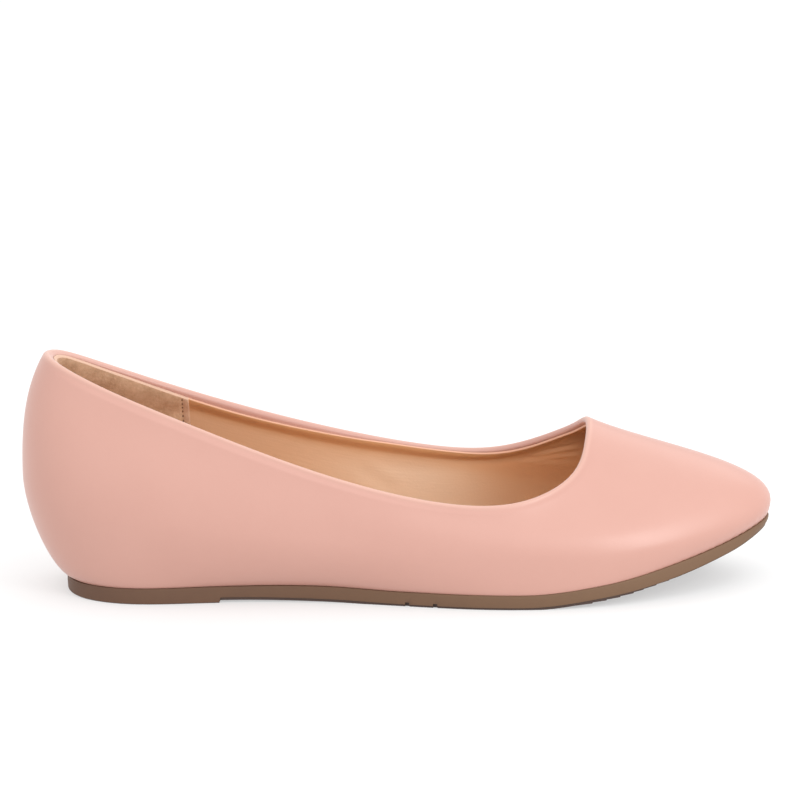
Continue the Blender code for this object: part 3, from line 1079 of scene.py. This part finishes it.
# Where each tooth under the toe spring starts. A tooth leans less than the sole does, so each ends
# in a riser, and the teeth get weaker towards the toe.
TEETH = (190.2, 196.0, 201.0, 205.9, 210.7, 214.3, 219.0, 223.6, 228.1, 232.5)
TOOTH_SHARE = 0.45


def station_at(x):
    """The station of the lateral side where the sole has this x."""
    stations = np.linspace(0.0, ROUND / 2, 4001)
    return np.interp(x, feather_line(stations)[:, 0], stations)


def sole_stations():
    """Stations with a close pair at each step of the underside."""
    places = [x + side for x in GROOVES for side in (-GROOVE_WIDTH / 2, GROOVE_WIDTH / 2)]
    places += [x for field in FIELDS for x in field]
    places += TEETH[1:]
    extra = [HEEL_BREAST, HEEL_BREAST + PAD_FRONT]
    for x in places:
        extra += [station_at(x - STEP), station_at(x + STEP)]
    lateral = np.unique(np.concatenate([np.arange(0.0, ROUND / 2, 1 / STATIONS_PER_ROW), extra]))
    return np.concatenate([lateral, [ROUND / 2], ROUND - lateral[:0:-1]])


def on_pad(stations):
    return (stations <= HEEL_BREAST) | (stations >= ROUND - HEEL_BREAST)


def in_groove(x):
    return np.any([np.abs(x - groove) < GROOVE_WIDTH / 2 for groove in GROOVES], axis=0)


def layer_height(stations, x):
    """Height of the walking layer between the sole's bottom and the lip."""
    height = LAYER_HEIGHT * (1 - smooth(*LAYER_END, x))
    return np.where(on_pad(stations), PAD_LAYER, height)


def layer_bottom(stations, x):
    """Height of the walking layer's underside over the floor, with its teeth."""
    bottom = sole_bottom(x)
    drop = np.minimum(bottom, LAYER_SAG * (1 - smooth(*LAYER_END, x)))
    for start, end in zip(TEETH[:-1], TEETH[1:]):
        share = TOOTH_SHARE * (1 - smooth(TEETH[2], TEETH[-1], start))
        tooth = share * (bottom - sole_bottom(np.full(x.shape, start)))
        drop += np.where((x > start) & (x <= end), tooth, 0.0)
    return np.where(on_pad(stations), 0.0, bottom - drop)


def in_field(x):
    return np.any([(x > start) & (x < end) for start, end in FIELDS], axis=0)


def make_outsole(material):
    stations = sole_stations()
    count = len(stations)
    line_points = feather_line(stations)
    step = 0.01
    along = feather_line(stations + step) - feather_line(stations - step)
    out = unit(np.stack([along[:, 1], -along[:, 0], np.zeros(count)], 1))
    edge = line_points + SOLE_MARGIN * out
    x = line_points[:, 0]
    height = layer_height(stations, x)
    base = layer_bottom(stations, x)
    inset = LAYER_INSET * smooth(0.0, PAD_LAYER, height)
    inset = np.where(in_groove(x), NOTCH, inset)
    ground = np.where(on_pad(stations), 0.0, sole_bottom(x))
    lip = ground + np.where(in_groove(x), GROOVE_DEPTH, height)
    roof = sole_top(edge[:, 0]) + ROOF_RISE
    low = lip + LIP_ROUND
    high = roof - UPPER_ROUND
    tuck = TUCK * smooth(*TUCK_START, x)
    rings = []
    # How far each ring carries the walking layer's painted shade.
    layer = []

    def ring(back, level, shade_painted=0.0):
        share = np.clip((level - low) / (high - low), 0.0, 1.0)
        points = edge - (back + tuck * (1 - share) ** 1.5)[:, None] * out
        points[:, 2] = level
        rings.append(points)
        layer.append(np.full(count, shade_painted))

    ring(inset + LAYER_ROUND, base, 1.0)
    ring(inset, base + np.minimum(LAYER_ROUND, lip - base), 1.0)
    ring(inset, lip, 1.0)
    for angle in np.linspace(0.0, math.pi / 2, 5):
        ring(LIP_ROUND * (1 - math.sin(angle)), lip + LIP_ROUND * (1 - math.cos(angle)))
    for share in (0.2, 0.4, 0.6, 0.8):
        ring(-SIDE_BULGE * math.sin(share * math.pi), low + share * (high - low))
    for angle in np.linspace(0.0, math.pi / 2, 5):
        ring(UPPER_ROUND * (1 - math.cos(angle)), roof - UPPER_ROUND * (1 - math.sin(angle)))
    ring(UNDER_UPPER, roof)
    faces = rings_faces(len(rings), count, False, True)
    points = np.array(rings).reshape(-1, 3)
    top = (len(rings) - 1) * count
    for i in range(count // 2):
        corners = (i, i + 1, count - i - 1, (count - i) % count)
        faces.append([top + corner for corner in dict.fromkeys(corners)])
    under, under_faces = sole_underside(stations, np.array(rings[0]), base, len(points))
    layer.append(np.ones(len(under)))
    points = np.concatenate([points, under])
    faces += under_faces
    marks = {"painted_shade_layer": np.concatenate(layer)}
    obj = add_piece("outsole_rubber", points, faces, material, marks=marks)
    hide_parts("outsole")


def sole_underside(stations, rim, base, start):
    """Points and faces of the underside, in strips from the medial to the lateral side."""
    lateral, medial = two_sides(rim)
    width = np.linalg.norm(medial - lateral, axis=1)
    size = len(lateral)
    x = feather_line(stations[:size])[:, 0]
    level = base[:size]
    grooved = level + GROOVE_DEPTH * in_groove(x)
    columns = [
        (0.0, level),
        (DAM, level),
        (DAM + 2 * STEP, grooved),
        (BORDER, grooved),
        (BORDER + 0.3, grooved + FIELD_DEPTH * in_field(x)),
    ]
    strips = []
    for near, far, inwards in ((medial, lateral, columns), (lateral, medial, columns[::-1])):
        across = (far - near) / np.maximum(width, 1e-9)[:, None]
        for away, height in inwards:
            points = near + np.minimum(away, width / 2)[:, None] * across
            points[:, 2] = np.where(away < width / 2, height, level)
            strips.append(points)
    return np.concatenate(strips), rings_faces(len(strips), size, False, False, start)


def make_ribs(material):
    rib_height = RIB_ROOT + FIELD_DEPTH - RIB_SET_BACK
    reach = np.array([[0.0, BORDER - RIB_END, 0.0], [0.0, RIB_END - BORDER, 0.0]])
    lines = []
    for start, end in FIELDS:
        number = int((end - start) // RIB_PITCH)
        first = (start + end - (number - 1) * RIB_PITCH) / 2
        for x in first + RIB_PITCH * np.arange(number):
            station = station_at(x)
            sides = feather_line(np.array([station, ROUND - station]))
            walking_face = layer_bottom(np.array([station]), np.array([x]))[0]
            ends = sides + reach
            ends[:, 2] = walking_face + RIB_SET_BACK + rib_height / 2
            lines.append(ends)
    sizes = {"Foot": RIB_FOOT, "Crest": RIB_CREST, "Height": rib_height}
    obj = repeat_along(lines, "tread_ribs", ribs_tree(), material, **sizes)
    # The ribs carry the same painted shade.
    mark = obj.data.attributes.new("painted_shade_layer", "FLOAT", "POINT")
    mark.data.foreach_set("value", np.ones(len(obj.data.vertices), np.float32))
    finish_piece(obj)


# Stage

VIEW_AZIMUTH = -3.56
VIEW_ELEVATION = 14.62
VIEW_DISTANCE = 1.012
AIM_HEIGHT = 0.040
LENS = 130.8
SENSOR = 36.0
SHIFT = (-0.006, 0.094)
WHITE = (1.0, 1.0, 1.0, 1.0)
FLOOR_SIDE = 10.0
FLOOR_GREY = 0.45
FLOOR_GLOW = 0.47  # of the lit panel under the floor
TENT = 1.26  # brightness of the white light tent all round
# Name, width, height, power, place and the point that it is aimed at, in metres and watts.
SOFTBOXES = (
    ("key_softbox", 1.8, 1.8, 4.6, (0.65, -0.95, 1.25), (0.05, 0.0, 0.03)),
    ("side_strip", 0.3, 1.2, 7.0, (1.0, -1.05, 0.6), (0.08, 0.0, 0.03)),
    ("back_softbox", 0.6, 0.6, 1.3, (0.69, 0.6, 1.0), (0.08, 0.0, 0.04)),
)


def add_camera():
    data = bpy.data.cameras.new("camera")
    data.lens = LENS
    data.sensor_width = SENSOR
    data.shift_x, data.shift_y = SHIFT
    obj = new_object("camera", data)
    a = math.radians(VIEW_AZIMUTH)
    e = math.radians(VIEW_ELEVATION)
    back = np.array([math.sin(a) * math.cos(e), -math.cos(a) * math.cos(e), math.sin(e)])
    obj.location = np.array([0.0, 0.0, AIM_HEIGHT]) + VIEW_DISTANCE * back
    obj.rotation_euler = (math.pi / 2 - e, 0.0, a)
    bpy.context.scene.camera = obj


def add_floor():
    mesh = bpy.data.meshes.new("floor")
    half = FLOOR_SIDE / 2
    corners = [(-half, -half, 0), (half, -half, 0), (half, half, 0), (-half, half, 0)]
    mesh.from_pydata(corners, [], [(0, 1, 2, 3)])
    material, tree, shader = new_material("matt paper floor")
    set_inputs(tree, shader, {
        "Base Color": (FLOOR_GREY, FLOOR_GREY, FLOOR_GREY, 1.0),
        "Emission Color": WHITE,
        "Emission Strength": FLOOR_GLOW,
        "Roughness": 1.0,
        "Specular IOR Level": 0.0,
    })
    mesh.materials.append(material)
    new_object("floor", mesh)


def add_lights():
    """White all round, and soft lights that stand upright."""
    world = bpy.data.worlds.new("studio")
    bpy.context.scene.world = world
    world.use_nodes = True
    sky = world.node_tree.nodes["Background"]
    set_inputs(world.node_tree, sky, {"Color": WHITE, "Strength": TENT})
    for name, width, height, power, place, aim in SOFTBOXES:
        data = bpy.data.lights.new(name, "AREA")
        data.shape = "RECTANGLE"
        data.size = width
        data.size_y = height
        data.energy = power
        obj = new_object(name, data)
        obj.location = place
        away = mathutils.Vector(place) - mathutils.Vector(aim)
        obj.rotation_euler = away.to_track_quat("Z", "Y").to_euler()


def main():
    rubber = sole_rubber()
    make_upper(nappa())
    make_lining(lining_leather())
    make_grip(suede())
    make_stitches(sewing_thread())
    make_insole(sock_leather())
    make_outsole(rubber)
    make_ribs(rubber)
    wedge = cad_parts["wedge"]
    wedge.data.materials.clear()
    wedge.data.materials.append(wedge_foam())
    add_camera()
    add_floor()
    add_lights()
    bpy.context.scene.view_settings.view_transform = "Standard"


main()
